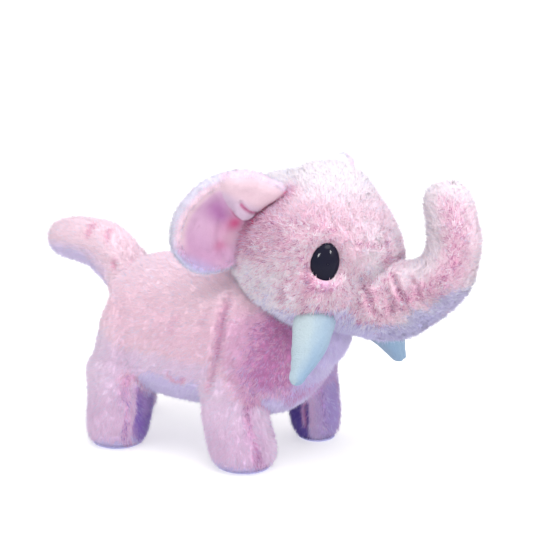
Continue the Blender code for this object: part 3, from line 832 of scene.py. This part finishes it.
def head_tints(co, normals, mask):
    place = to_head(co)
    f, r, z = place.T
    nz = normals[:, 2]
    face, jaw, trunk, band = head_regions(place)
    both_sides = np.stack([f, np.abs(r), z], 1)
    spot = lambda centre, widths: blob(both_sides, centre, widths)
    # pale patches of the face; those on the muzzle and over the root of the trunk are painted light, where
    # the muzzle faces down and the brow shades the trunk
    pale = (spot((4, 46, -10), (16, 16, 8)) + spot((33, 30, -18), (15, 14, 9))
            + spot((50, 18, 14), (10, 12, 14)) + spot((50, 20, -8), (12, 14, 9))
            + 1.4 * spot((55, 6, 5), (10, 18, 12)))
    return layered(flat_tint(PINK, co),
        # painted light on the top of the head
        (WHITE, above(z, 20, 24) * 0.85),
        (ROSE, face * (0.22 + 0.16 * waves(place, 9, 16))),
        (MAUVE, face * below(f, 18, 20) * 0.2),
        (ROSE, 0.35 * spot((16, 38, 24), (14, 16, 8))),
        (BLUSH, pale * 0.85),
        (LILAC * 0.4 + WHITE * 0.6, jaw * 0.95),
        (BLUSH * 0.6 + WHITE * 0.4, trunk * (1 - band) * 0.85),
        (ROSE, trunk * band * 0.6),
        # painted periwinkle shade on the downward faces, more of it towards the trunk
        (PERI, smooth(-nz * 1.5 - 0.45 + 0.4 * above(f, 14, 16)) * 0.9),
        # painted shade under the eye and behind the tusk
        (MAUVE, 0.75 * spot((31, 41, -17), (8, 10, 4))),
        (DEEP, 0.6 * spot((23, 45, -13), 4.5)),
        # painted shade in the creases
        (DEEP * (0.75, 0.6, 0.7), mask * 0.8),
    )


def head_regions(place):
    """The shares of the grainy face, the pale jaw, the trunk and the grainy band on its sides."""
    f, _, z = place.T
    face = smooth((34 - z - 0.15 * f) / 20) * above(z, -50, 14)
    cheek_line = -4 - 0.42 * np.clip(f + 28, 0, 60)  # the pale jaw starts below it
    jaw = smooth((cheek_line - z + 8) / 14) * below(f, 24, 12)
    band = bell(trunk_offset(place), 6.0) * below(z, 44, 12)
    return face * (1 - jaw), jaw, above(f, 56, 14), band


def head_grain(place, mask):
    face, jaw, trunk, band = head_regions(place)
    brow = above(place[:, 0], 28, 16) * above(place[:, 2], -12, 12)
    grain = 0.2 + 0.75 * face * (1 - trunk) * (1 - 0.7 * brow) + 0.45 * jaw
    grain = grain * (1 - trunk) + trunk * (0.15 + 0.95 * band)
    return np.clip(grain + mask * 0.8, 0, 1.1)


# ---- the ears

# An ear has its own flat frame: down along its sewn edge, away from it, and out of its front.
EAR_TOP = (-3, 36.5, 38.5)
EAR_BOTTOM = (-35, 38, -12)
EAR_REACH = (-0.53, 0.76, 0.38)
EAR_OUTLINE = [
    (-10, -7), (-24, -7), (-30.5, 2), (-31, 11), (-30.5, 20.5), (-27, 30.5), (-20, 39), (-9.5, 45.5),
    (4, 48.8), (16, 48.2), (27.5, 44), (36, 37), (41, 28), (43, 18), (39, 8), (31, 0), (22, -6), (6, -8),
]
EAR_MIDDLE = np.array((6.0, 19.0))
LEFT_EAR_SHIFT = (-5.4, 1.8)
EAR_ROLL = 5.0  # half the thickness of its plump rim
# the lower edge of the top of the ear, which is folded over its front
EAR_FOLD = [
    (-22, 40), (-14, 35), (-8, 28.5), (-4, 22.5), (-1.2, 17), (-0.4, 12), (-2.5, 8.5), (-7, 6),
    (-13, 4), (-24, 0),
]
# a pleat where the fold meets the head, its line of painted shade, and the tuck under it
EAR_PLEAT = [(-12, 20), (-9.5, 15.5), (-8.5, 11), (-9, 5)]
PLEAT_SHADE = [(-10.5, 19), (-9.2, 15.5), (-8.5, 11), (-9, 5)]
EAR_TUCK = [(8, 21), (16, 18), (22, 13.5), (27, 6)]
# where the ear meets the head, and the same seen from its front as rows of down and away
EAR_SEAM = [
    (-30, -1, 4), (-22, 1.5, 5), (-14, 4.5, 5), (-8, 5.5, 5), (0, 4.5, 4), (8, 4, 4), (17, 3, 4),
    (26, 1.6, 4),
]
EDGE_DOWN, EDGE_AWAY = (-30, -22, -14, -9, -2, 6, 15, 26), (-2, 1.3, 5.1, 5.8, 4.6, 4, 3, 1.6)


def ear_to_world(places, side):
    top, bottom = np.array(EAR_TOP, float), np.array(EAR_BOTTOM, float)
    down = unit(bottom - top)
    out = np.array(EAR_REACH)
    out = unit(out - down * (out @ down))
    rows = np.stack([(top + bottom) / 2, down, out, np.cross(down, out)])
    rows[:, 1] *= side
    world = from_head(rows)
    down, out, front = world[1:] - from_head([(0, 0, 0)])[0]
    p = np.atleast_2d(np.asarray(places, float))
    return world[0] + p[:, :1] * down + p[:, 1:2] * out + p[:, 2:3] * front


def seam_to_world(side):
    return ear_to_world(spline(EAR_SEAM, 60), side)


def round_edge(gap, reach):
    """0 at the edge, rising like a quarter circle to 1 at this gap from it."""
    return np.sqrt(1 - (1 - np.clip(gap / reach, 0, 1)) ** 2)


def near_flat(flat, places, width):
    return bell(norm(flat - places, axis=1), width)


def ear_relief(flat, gap):
    """Height of the ear's front, and how far inside the folded top it is."""
    rim = EAR_ROLL * round_edge(gap, EAR_ROLL)
    dish = 1.8 + 1.2 * near_flat(flat, (20, 22), 12)
    low = above(gap, EAR_ROLL - 1, 13)
    height = rim * (1 - low) + dish * low
    # the folded top is a soft roll with an edge that drops to the lining
    _, away, run = beside(flat, spline(EAR_FOLD, 80))
    inside = np.sign(run[:, 1] * away[:, 0] - run[:, 0] * away[:, 1]) * norm(away, axis=1)
    roll = 8.5 * np.sqrt(np.clip(1 - ((np.clip(inside, 0, 13) - 10) / 15) ** 2, 0, 1))
    roll = roll * round_edge(gap, 9)
    soft = 1.8 + 11 * above(flat[:, 1], 15, 14)
    step = smooth((inside + 0.35 * soft) / soft)
    fold = height * (1 - step) + np.maximum(roll, height) * step
    pleat = near_curve(flat, spline(EAR_PLEAT, 30), 4)[0]
    fold -= 1.6 * bell(pleat, 1.3)
    tuck = near_curve(flat, spline(EAR_TUCK, 30), 8)[0]
    fold -= 0.8 * bell(tuck, 2.2) - 0.5 * bell(tuck - 4, 2.5)
    return fold, inside


def ear_tints(flat, gap, inside, front):
    a, w = flat.T
    spot = lambda centre, width: near_flat(flat, centre, width)
    top = above(inside, -0.4, 1.2)
    pleat = near_curve(flat, spline(PLEAT_SHADE, 30), 4)[0]
    rim = below(gap, 11, 5)
    edge_of_head = np.interp(a, EDGE_DOWN, EDGE_AWAY)
    tint = layered(flat_tint(ROSE * 0.55 + LILAC * 0.45, flat),
        (MAUVE, 0.45 * above(a, 10, 22)),
        # painted periwinkle shade at the bottom of the ear
        (PERI, 0.75 * above(a, 30, 9)),
        (PINK, 0.5 * spot((14, 10), 6)),
        (DEEP, 0.22 * spot((10, 17), 7)),
        # painted shade in the hollow under the fold
        (PLUM * 0.4 + MAUVE * 0.4 + VIOLET * 0.2, 0.8 * spot((0, 29), 7) + 0.6 * spot((4, 22), 5)),
        (HOT * 0.4 + DEEP * 0.6, 0.85 * spot((4.5, 13), 4.4) + 0.45 * spot((21, 13.5), 4)),
        # the folded top, paler towards its ridge as painted light, with painted shade under its edge and in
        # its pleat
        (LILAC * 0.5 + PINK * 0.4, top),
        (BLUSH * 0.4 + PINK * 0.6, top * below(a, -9, 8)),
        (DEEP, 0.9 * bell(inside, 0.9) * below(w, 24, 8)),
        (DEEP, 0.8 * bell(pleat, 1.0)),
        # the rim, its edge in painted rim light, and painted shade along the line where the ear meets the
        # head
        (BLUSH * 0.5 + PINK * 0.5, rim * below(a, 34, 10) * above(w, 4, 8)),
        (FROST_PAINTED_LIGHT, below(gap, 4, 3) * 0.6 * (1 - 0.6 * top)),
        (HOT, 0.9 * smooth((edge_of_head + 1.6 - w) / 1.6) * below(a, 18, 16)),
    )
    tint = tint * (1 - (1 - BARE) * smooth((gap - 4.5 + 4.2 * top) / 2))[:, None]
    # the back of the ear, paler at its top as painted light
    back = ~front
    plain = flat_tint(PINK * 0.6 + LILAC * 0.4, a[back])
    tint[back] = mix(plain, WHITE * 0.6 + FROST_PAINTED_LIGHT * 0.4, below(a[back], -2, 12))
    return tint


def ear_radius(side, directions):
    """From the ear's middle to its outline in each direction."""
    outline = np.array(EAR_OUTLINE, float)
    if side < 0:  # the left ear stands a little higher
        outline += np.outer(below(outline[:, 0], 0, 24) * above(outline[:, 1], 0, 14), LEFT_EAR_SHIFT)
    closed = np.vstack([outline[-3:], outline, outline[:3]])
    count, n = 2000, len(closed) - 1
    steps = spline(closed, count)[int(count * 3 / n):int(count * (len(outline) + 3) / n)]
    down, away = (steps - EAR_MIDDLE).T
    angles = np.arctan2(down, away)
    order = angles.argsort()
    return np.interp(directions, angles[order], np.hypot(down, away)[order], period=2 * pi)


def make_ear(side, name, plush, lining):
    around, rings = 150, 46
    t = round_turn(around) - pi
    radius = ear_radius(side, t)
    ring = np.linspace(0, 1, rings) ** 0.85
    ring[0] = 0.004
    share = np.concatenate([ring, ring[-2::-1]])
    flat = EAR_MIDDLE + (share[:, None] * radius)[..., None] * np.stack([np.sin(t), np.cos(t)], 1)
    flat = flat.reshape(-1, 2)
    gap = ((1 - share[:, None]) * radius).ravel()
    front = np.repeat(np.arange(len(share)) < rings, around)
    relief, inside = ear_relief(flat, gap)
    lift = np.where(front, relief, -EAR_ROLL * round_edge(gap, 8))
    lift += 0.35 * waves(np.column_stack([flat, lift]), 16, 21 + side)
    # the whole flap cups a little towards its front
    lift += 0.0022 * ((flat[:, 0] - 8) ** 2 + (flat[:, 1] - 10) ** 2) - 1.5
    co = ear_to_world(np.column_stack([flat, lift]), side)
    tints = ear_tints(flat, gap, inside, front)
    quads = turned_quads(len(share), around)
    if side < 0:
        quads = quads[:, ::-1]
    no = normals_of(co, quads)
    lit = front[quads].all(1) & (gap[quads].mean(1) > 6.5 - 4.5 * smooth(inside[quads].mean(1) / 4))
    # pile on the back stops short of the rim, where the pile of the front hangs over
    tufted = ~lit & ~(~front[quads].any(1) & (gap[quads].mean(1) < 8))
    skin = (co, quads, no, tints)

    def comb(root):
        return unit(root - ear_to_world([(8, 8, 0)], side))

    cover = skin_object(f"ear_{name}_plush", *skin, plush, ~lit)
    inner = skin_object(f"ear_{name}_inner", *skin, lining, lit)
    hair = pile(f"ear_{name}_pile", skin, tufted, 2.6, 2.2, 0.42, 32, comb, fuzz=0.4)
    nap = pile(f"ear_{name}_nap", skin, lit, 2.6, 1.0, 0.3, 24, comb, tone=0.035, fuzz=0.0, soft=0.95)
    put([cover, *hair], "ear_" + name, ["ear_" + name])
    put([inner, *nap], "ear_" + name, [f"ear_{name}_lining"])


# ---- eyes, tusks and soles

EYE_DROP = 3.3
EYE_HIGH, EYE_WIDE = 11.2, 8.7
EYE_SEAT = 49.0
EYE_DOME = 5.2


def eye_outline(t):
    """(forward, up) round the eye, which is fuller behind."""
    x = EYE_WIDE * np.cos(t) * np.where(np.cos(t) > 0, 0.86, 1.08) + 0.5 * np.sin(t)
    z = EYE_HIGH * np.sin(t) * (1 - 0.05 * np.cos(2 * t))
    return x, z


def eye_frame(side):
    """The ways out of the eye and forward along it, in the head's frame."""
    return (np.array((cos(EYE_SIDE), side * sin(EYE_SIDE), 0)),
            np.array((sin(EYE_SIDE), -side * cos(EYE_SIDE), 0)))


def make_eye(side, name, material):
    normal, ahead = eye_frame(side)
    up = np.array((0, 0, 1.0))
    around, rings = 72, 20
    x, z = eye_outline(round_turn(around))
    turn = np.linspace(0.02, pi / 2, rings)
    share = np.concatenate([np.sin(turn), [0.94, 0.5, 0.01]])
    dome = np.concatenate([EYE_DOME * np.cos(turn), [-1.4, -1.8, -1.8]])
    p = (normal * (EYE_SEAT + dome[:, None, None]) + ahead * (share[:, None] * x)[..., None]
         + up * (share[:, None] * z - EYE_DROP)[..., None])
    co = from_head(p.reshape(-1, 3))
    made = whole_piece("eye_button_" + name, co, turned_quads(len(share), around), VIOLET, material)
    put([made], "head", ["eye_" + name])


TUSK_ROOT = np.array((21.5, 31.5, -33.5))
TUSK_REACH = {1: np.array((5, 30, -36.5)), -1: np.array((14.5, 25.5, -41))}
TUSK_SWELL = {1: 1, -1: 1.25}
TUSK_BEND = 1.5
# rows of (share of the length, radius)
TUSK_STATIONS = [
    (-0.22, 0), (-0.2, 8), (0.0, 10.8), (0.15, 11.6), (0.35, 11.2), (0.55, 9.4), (0.72, 7.2),
    (0.86, 5.3), (0.95, 4.2), (1.0, 3.0), (1.025, 0),
]


def make_tusk(side, name, material):
    reach = TUSK_REACH[side] * (1, side, 1)
    root = TUSK_ROOT * (1, side, 1)
    axis = reach / norm(reach)
    across = unit(np.cross(axis, (0, 0, 1.0)))
    upright = np.cross(across, axis)
    s = spline(TUSK_STATIONS, 60, closed_ends=(1,))
    bend = TUSK_BEND * np.sin(np.clip(s[:, 0], 0, 1) * pi)
    rows = root + s[:, :1] * reach + across * (bend * side)[:, None]
    zero = from_head([(0, 0, 0)])
    radius = np.maximum(s[:, 1:2], THIN) * TUSK_SWELL[side]
    side_way = (from_head([across]) - zero) * radius * 1.04
    up_way = (from_head([upright]) - zero) * radius * 0.9
    co, quads = shell(from_head(rows), side_way, up_way, 56)
    quads, no = facing_out(co, quads)
    place = to_head(co)
    co += no * (0.35 * waves(place, 14, 41 + side) + 0.12 * waves(place, 5, 43))[:, None]
    # the sewn edge runs down the side that faces the body, and a second one opposite
    for way in (-1, 1):
        seam = rows + across * radius * 1.04 * way
        crease(co, no, seam[3:-3], 0.45, 0.8, 0.15, from_head, sharp_ends=True)
    no = normals_of(co, quads)
    # painted shade: bluer on one side, low down and underneath
    outer = above(no @ (from_head([across * side])[0] - zero[0]), -0.1, 0.9)
    tints = layered(flat_tint(MINT, co),
        (SKY_SHADE, outer * 0.55 + 0.25 * below(place[:, 2], -40, 26)),
        (SKY_SHADE, smooth(-no[:, 2] * 1.5 - 0.4) * 0.7),
    ) * FELT_DEPTH
    made = skin_object("tusk_felt_" + name, co, quads, no, tints, material)
    put([made], "head", ["tusk_" + name, f"tusk_{name}_stuffing"])


# rows of (height, share of the half size)
SOLE_ROWS = [(0.0, 0.02), (0.0, 0.6), (0.15, 0.86), (0.9, 0.97), (1.9, 0.95), (2.4, 0.7), (2.5, 0.02)]
SOLE_SHARE = 0.92


def make_sole(name, material):
    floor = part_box(f"leg_{name}_sole")[0][2] / MM
    _, forward, right, length, width = LEGS[name][FOOT]
    middle = to_world([(forward, right, 0)])[0]
    half = SOLE_SHARE * np.array((width, length))
    around = 48
    t = round_turn(around)
    rows = [np.stack([middle[0] + half[0] * share * np.cos(t), middle[1] + half[1] * share * np.sin(t),
                      np.full(around, floor + up)], 1) for up, share in SOLE_ROWS]
    quads = turned_quads(len(rows), around)
    made = whole_piece(f"leg_{name}_pad", np.concatenate(rows), quads, PERI, material)
    put([made], "leg_" + name, [f"leg_{name}_sole"])


# ---- building it


def make_skin(name, skin, chosen, nodes, join, plush, fill, **hair):
    """A piece of a skin with its pile, in place of these nodes."""
    cover = skin_object(name + "_plush", *skin, plush, chosen)
    put([cover, *pile(name + "_pile", skin, chosen, **hair)], join, nodes)


def build_body():
    co, quads, no, mask = make_body()
    place = from_world(co)
    grain = 0.1 + 0.75 * chest_share(place) + 0.85 * leg_strip(place, -no[:, 1]) + 0.45 * mask
    middle = from_world(co[quads].mean(1))
    f, r, z = middle.T
    tail = (middle @ TAIL_UP > TAIL_BLEND[0]) & (f < -38) & (z > 95)
    legs = {}
    for name, stations in LEGS.items():
        rows = np.array(stations, float)
        at = [np.interp(z, rows[:, 0], rows[:, column]) for column in range(5)]
        gap = np.hypot((f - at[1]) / (at[3] + LEG_MARGIN), (r - at[2]) / (at[4] + LEG_MARGIN))
        side = np.sign(rows[0, 2])
        legs[name] = (gap < 1) & (z < LEG_BLEND[0] + (side * r - LEG_MIDDLE) * LEG_SLANT)
    rest = ~tail & ~np.any(list(legs.values()), 0)

    def comb(root):
        """Back and down on the body, down on the legs and out along the tail."""
        f, _, z = from_world(root).T
        flow = np.tile((-0.85, 0.0, -0.5), (len(root), 1))
        low = below(z, 52, 20)[:, None]
        flow = flow * (1 - low) + low * (-0.2, 0, -1)
        out = below(f, -50, 14)[:, None] * above(z, 100, 10)[:, None]
        return swapped(flow * (1 - out) + out * (-0.95, 0, 0.25))

    def shown(points):
        """No pile grows where the head hides the body."""
        return (norm(points - to_world([HEAD_CENTRE]), axis=1) > 44).astype(float)

    skin = (co, quads, no, body_tints(co, no, mask))
    common = dict(plush=cloth_material("plush_body", 900, 0.5), fill=0.8, density=1.9, length=3.2,
                  width=0.5, lean=32, comb=comb, tone=0.03, grain=np.clip(grain, 0, 1), weight=shown,
                  strand=0.45)
    make_skin("torso", skin, rest, ("torso_skin", "torso_stuffing"), "torso", **common)
    ends = [to_world([TAIL_UP * height])[0] * MM for height in TAIL_BLEND]
    make_skin("tail", skin, tail, ("tail_skin", "tail_stuffing"), ("torso", "tail", *ends), **common)
    for name, chosen in legs.items():
        leg = "leg_" + name
        side = 1 if name.endswith("right") else -1
        down = unit(np.array((0.0, side * LEG_SLANT, -1.0)))
        top = np.array((0, side * LEG_MIDDLE, LEG_BLEND[0]))
        ends = [to_world([p])[0] * MM for p in (top, top + down * (LEG_BLEND[0] - LEG_BLEND[1]))]
        make_skin(leg, skin, chosen, (leg + "_skin", leg + "_stuffing"), ("torso", leg, *ends), **common)


def build_head():
    co, quads, no, mask = make_head_form()
    # the sewn edge of each ear is sunk, with painted shade beside it and a painted dark line along it
    root, shade = np.zeros(len(co)), np.zeros(len(co))
    for side in (1, -1):
        crease(co, no, EAR_SEAM, 1.2, 2.6, 0.4, lambda p, s=side: ear_to_world(p, s), root)
        gap, along = near_curve(co, seam_to_world(side), 16)
        np.maximum(shade, bell(gap, 6.5) * (1 - 0.6 * along), out=shade)
    no = normals_of(co, quads)
    tints = layered(head_tints(co, no, mask), (DEEP, shade * 0.9), (HOT, root * 0.95))
    grain = head_grain(to_head(co), mask) * (1 - root) * (1 - 0.8 * shade)
    point, ahead = TRUNK_CUT
    trunk = (to_head(co[quads].mean(1)) - point) @ ahead > 0

    def comb(root):
        """Back from the trunk over the face, and along the trunk to its tip."""
        place = to_head(root)
        flow = np.tile((-0.9, 0.0, -0.35), (len(root), 1))
        flow[:, 2] += 0.02 * place[:, 2]
        along = above(place[:, 0], 46, 14)[:, None]
        run = trunk_beside(place[:, (0, 2)])[2]
        out = np.stack([run[:, 0], 0 * run[:, 0], run[:, 1]], 1)
        return swapped(flow * (1 - along) + out * along) @ HEAD_TURN.T

    def shown(points):
        """No pile grows under the eyes or on the seams of the ears."""
        place = to_head(points)
        keep = np.ones(len(points), bool)
        for side in (1, -1):
            normal, forward = eye_frame(side)
            x, z = place @ forward, place[:, 2] + EYE_DROP
            edge = eye_outline(np.arctan2(z / EYE_HIGH, x / EYE_WIDE))
            keep &= (np.hypot(x, z) > np.hypot(*edge) + 0.2) | (place @ normal < 30)
            keep &= near_curve(points, seam_to_world(side), 5)[0] > 1.5
        return keep.astype(float)

    skin = (co, quads, no, tints)
    common = dict(plush=cloth_material("plush_head", 800, 0.7, spread=0.3), fill=0.9, density=2.4,
                  length=3.6, width=0.6, lean=34, comb=comb, ruffle=0.8, tone=0.06, grain=grain,
                  weight=shown, soft=0.75)
    ends = [from_head([p])[0] * MM for p in HEAD_BLEND]
    nodes = ("head_skin", "head_stuffing", "neck_collar", "trunk_base_skin", "trunk_base_stuffing")
    make_skin("head", skin, ~trunk, nodes, ("head", "trunk_base", *ends), **common)
    ends = [from_head([p])[0] * MM for p in CURL_BLEND]
    nodes = ("trunk_tip_skin", "trunk_tip_stuffing")
    make_skin("trunk", skin, trunk, nodes, ("trunk_base", "trunk_tip", *ends), **common)


# ---- stage

# azimuth, elevation, distance and the place it looks at
CAMERA = (-64, 14.54, 0.850, Vector((-0.0055, -0.01676, 0.11595)))
FLOOR_REACH = 6.0
WARM = (1.0, 0.985, 0.98)
LIGHTS_AIM = Vector((0, 0, 0.09))
# name, azimuth, elevation, distance, size, power, colour, and whether it acts only on gloss
LIGHTS = [
    ("key", -40, 66, 1.2, 0.8, 8.5, WARM, False), ("fill", -15, 32, 1.4, 1.0, 1.8, WARM, False),
    ("sparkle_right", -28, 30, 1.0, 0.2, 5.0, (1, 1, 1), True),
    ("sparkle_left", -98, 30, 1.0, 0.2, 5.0, (1, 1, 1), True),
]


def aim(made, azimuth, elevation, distance, centre):
    """Places a camera or lamp this way from a centre, looking back at it."""
    a, e = radians(azimuth), radians(elevation)
    way = Vector((sin(a) * cos(e), -cos(a) * cos(e), sin(e)))
    made.location = centre + way * distance
    made.rotation_mode = "QUATERNION"
    made.rotation_quaternion = (-way).to_track_quat("-Z", "Y")


def make_camera():
    data = bpy.data.cameras.new("camera")
    data.sensor_width, data.lens = 36, 89.74
    made = link("camera", data)
    aim(made, *CAMERA)
    bpy.context.scene.camera = made


def area_light(name, azimuth, elevation, distance, size, power, rgb, gloss_only):
    data = bpy.data.lights.new(name, "AREA")
    data.shape, data.size, data.energy, data.color = "DISK", size, power, rgb
    made = link(name, data)
    made.visible_diffuse = not gloss_only
    aim(made, azimuth, elevation, distance, LIGHTS_AIM)


def make_stage():
    mesh = bpy.data.meshes.new("floor")
    corners = [(x * FLOOR_REACH, y * FLOOR_REACH, 0) for x, y in ((-1, -1), (1, -1), (1, 1), (-1, 1))]
    mesh.from_pydata(corners, [], [(0, 1, 2, 3)])
    floor = link("floor", mesh)
    pale = plain_material("floor", (0.62, 0.62, 0.62), 0.9)
    shader = shader_of(pale)
    shader.inputs["Emission Color"].default_value = (1, 1, 1, 1)
    shader.inputs["Emission Strength"].default_value = 0.5
    mesh.materials.append(pale)
    world = bpy.data.worlds.new("world")
    world.use_nodes = True
    background = world.node_tree.nodes["Background"]
    background.inputs["Color"].default_value = (1, 1, 1, 1)
    background.inputs["Strength"].default_value = 1.04
    bpy.context.scene.world = world
    for light in LIGHTS:
        area_light(*light)
    bpy.context.scene.view_settings.view_transform = "Standard"


build_body()
build_head()
ear_plush = cloth_material("plush_ear", 900, 0.5)
ear_lining = cloth_material("ear_lining", 1600, 0.35, spread=0.08)
felt = cloth_material("felt", 1400, 0.5, sheen=0.15, weave=900, spread=0.08)
eye_gloss = eye_material()
for side, name in ((1, "right"), (-1, "left")):
    make_ear(side, name, ear_plush, ear_lining)
    make_eye(side, name, eye_gloss)
    make_tusk(side, name, felt)
sole_cloth = cloth_material("sole_cloth", 1200, 0.4)
for name in LEGS:
    make_sole(name, sole_cloth)
washer_plastic = cloth_material("washer_plastic", 400, 0.05, sheen=0.0, spread=0.1, rgb=(0.82, 0.82, 0.84))
for name in ("right", "left"):
    mesh = bpy.data.objects["eye_washer_" + name].data
    mesh.materials.clear()
    mesh.materials.append(washer_plastic)
make_stage()
make_camera()
